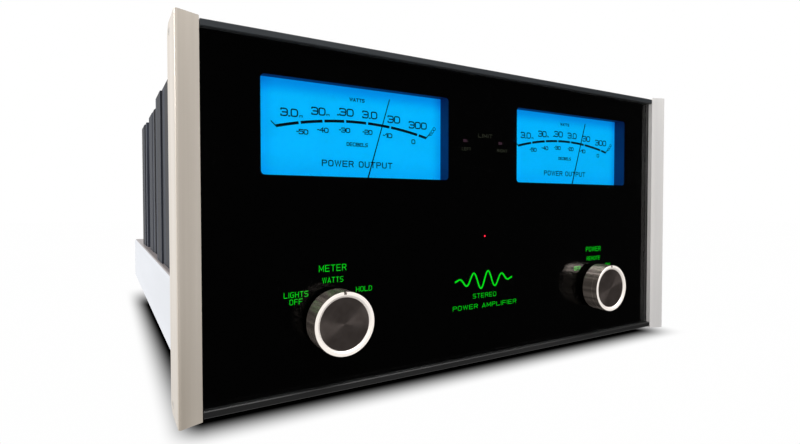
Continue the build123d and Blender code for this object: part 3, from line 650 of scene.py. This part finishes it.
def sky_mix(factor, first, second):
    """Value that goes from first to second with the factor."""
    node = sky.nodes.new("ShaderNodeMix")
    sky.links.new(factor, node.inputs[0])
    for socket, value in ((node.inputs[2], first), (node.inputs[3], second)):
        if isinstance(value, bpy.types.NodeSocket):
            sky.links.new(value, socket)
        else:
            socket.default_value = value
    return node.outputs[0]


level = sky_mix(rays.outputs["Is Diffuse Ray"], mirror_level.outputs[0], soft_level)
level = sky_mix(rays.outputs["Is Camera Ray"], level, 1.0)
background = sky_node("ShaderNodeBackground", Color=(1.0, 1.0, 1.0, 1.0), Strength=level)
output = sky.nodes.new("ShaderNodeOutputWorld")
sky.links.new(background.outputs[0], output.inputs[0])


# The painted soft shadow on the floor.
shadow_spread = 8 * mm  # how far the patch reaches past the left side
long_spread = 55 * mm  # past the right side, away from the light
back_spread = 120 * mm  # past the back
side_fade = 17 * mm
front_gap = 8 * mm  # the patch starts this far behind the front, which overhangs the floor
front_fade = 44 * mm
mirror_fade = 30 * mm  # the floor's mirror image darkens over this depth at the front


def floor_finish():
    """Even white floor with a painted soft shadow under the object. Mirrored from in front, it is dark."""
    finish = Finish("studio_floor")
    x, y = finish.split()[:2]
    low, high = cad_box
    left = finish.remap(x, low[0] - shadow_spread, low[0] + side_fade, smooth=True)
    right = finish.remap(x, high[0] + long_spread, high[0] + shadow_spread, smooth=True)
    front = finish.remap(y, low[1] + front_gap, low[1] + front_fade, smooth=True)
    back = finish.remap(y, high[1] + back_spread, high[1] - 3 * side_fade, smooth=True)
    across, along = finish.calc("MULTIPLY", left, right), finish.calc("MULTIPLY", front, back)
    # under: the painted shadow, dark beneath the object and fading outwards.
    under = finish.calc("MULTIPLY", across, along)
    path = finish.tree.nodes.new("ShaderNodeLightPath")
    in_front = finish.remap(y, low[1] + mirror_fade, low[1])
    dark = finish.calc("MULTIPLY", in_front, path.outputs["Is Glossy Ray"])
    light = finish.mix(finish.noise(0.5), grey(254), grey(255))
    white = finish.mix(under, light, grey(0))
    finish.set(
        base_color=grey(0),
        roughness=1.0,
        specular_ior_level=0.0,
        emission_color=finish.mix(dark, white, (front_level, front_level, front_level, 1.0)),
        emission_strength=1.0,
    )
    finish.material.cycles.emission_sampling = "NONE"
    return finish


floor_size = 8.0
floor_mesh = bpy.data.meshes.new("floor")
corners = [(sx * floor_size / 2, sy * floor_size / 2, 0) for sx, sy in ((-1, -1), (1, -1), (1, 1), (-1, 1))]
floor_mesh.from_pydata(corners, [], [(0, 1, 2, 3)])
floor_mesh.materials.append(floor_finish().material)
floor = bpy.data.objects.new("floor", floor_mesh)
bpy.context.scene.collection.objects.link(floor)


def softbox(name, place, aim, size, power, mirrored=True):
    """Rectangular light, out of the camera's sight and, unless mirrored, out of every reflection."""
    lamp = bpy.data.lights.new(name, "AREA")
    lamp.shape = "RECTANGLE"
    lamp.size, lamp.size_y = size
    lamp.energy = power
    holder = bpy.data.objects.new(name, lamp)
    holder.location = place
    holder.rotation_euler = (Vector(aim) - Vector(place)).to_track_quat("-Z", "Y").to_euler()
    holder.visible_camera = False
    holder.visible_glossy = mirrored
    holder.visible_transmission = mirrored
    bpy.context.scene.collection.objects.link(holder)


softbox("front_top_softbox", (0.3, -1.5, 1.9), (0, -0.2, 0.1), (2.4, 1.0), 60)
softbox("left_softbox", (-2.2, 0.4, 1.2), (-0.2, 0, 0.1), (1.6, 1.2), 30)
softbox("front_fill_softbox", (-1.5, -1.6, 0.6), (0.1, -0.25, 0.1), (1.0, 1.0), 22, mirrored=False)

# ---------------------------------------------------------------- camera
look_down, look_right = 1.368, 31.334  # degrees
camera = bpy.data.objects.new("camera", bpy.data.cameras.new("camera"))
camera.data.lens = 22.53
camera.data.sensor_width = 36.0
camera.data.shift_x = -0.0101
camera.data.shift_y = -0.0074
camera.location = (-0.2556, -0.5411, 0.1352)
camera.rotation_euler = (math.radians(90 - look_down), 0.0, math.radians(-look_right))
bpy.context.scene.collection.objects.link(camera)
bpy.context.scene.camera = camera
bpy.context.scene.view_settings.view_transform = "Standard"
